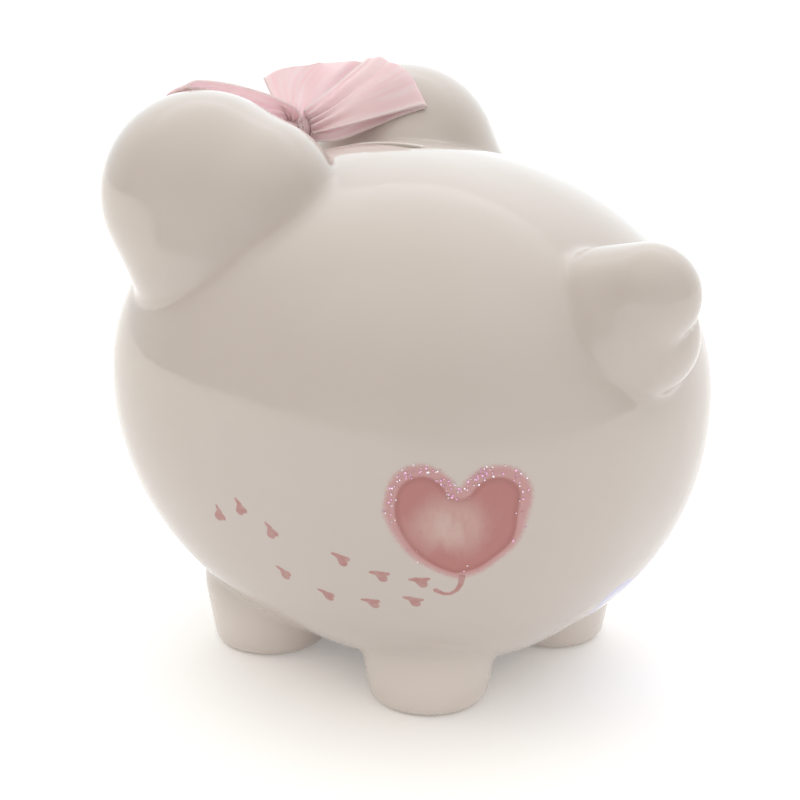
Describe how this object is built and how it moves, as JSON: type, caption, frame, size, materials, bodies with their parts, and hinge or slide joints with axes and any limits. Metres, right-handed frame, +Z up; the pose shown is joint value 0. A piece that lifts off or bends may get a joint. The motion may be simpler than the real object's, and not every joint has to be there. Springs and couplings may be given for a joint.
{
  "type": "coin bank",
  "caption": "Round glazed ceramic pig money bank with stub legs, big round ears, curled tail, coin slot in the back, ribbon bow and a pull-out belly stopper.",
  "frame": {"origin": "on the surface that the feet stand on, under the middle of the overall length and width", "axes": "+Z up, -Y out of the snout, +X to the pig's own left"},
  "size_m": [0.1876, 0.2285, 0.1995],
  "materials": {
    "glaze": "white gloss glaze over fired clay, with painted pink decoration",
    "stopper": "soft matt moulded plug",
    "glue": "clear-yellow hot-melt dab",
    "ribbon": "pink satin ribbon with woven edges"
  },
  "bodies": {
    "bank": {"body_shell": "glaze", "snout": "glaze", "ear_left": "glaze", "ear_right": "glaze", "leg_front_left": "glaze", "leg_front_right": "glaze", "leg_rear_left": "glaze", "leg_rear_right": "glaze", "tail": "glaze", "glue_pad": "glue", "bow_knot": "ribbon", "bow_loop_left": "ribbon", "bow_loop_right": "ribbon", "bow_end_upright": "ribbon", "bow_end_brow": "ribbon"},
    "stopper": {"stopper": "stopper"}
  },
  "joints": [
    {"name": "stopper_pull", "type": "slide", "parent": "bank", "child": "stopper", "axis": [0, 0, -1], "range_m": [0, 0.05]}
  ]
}
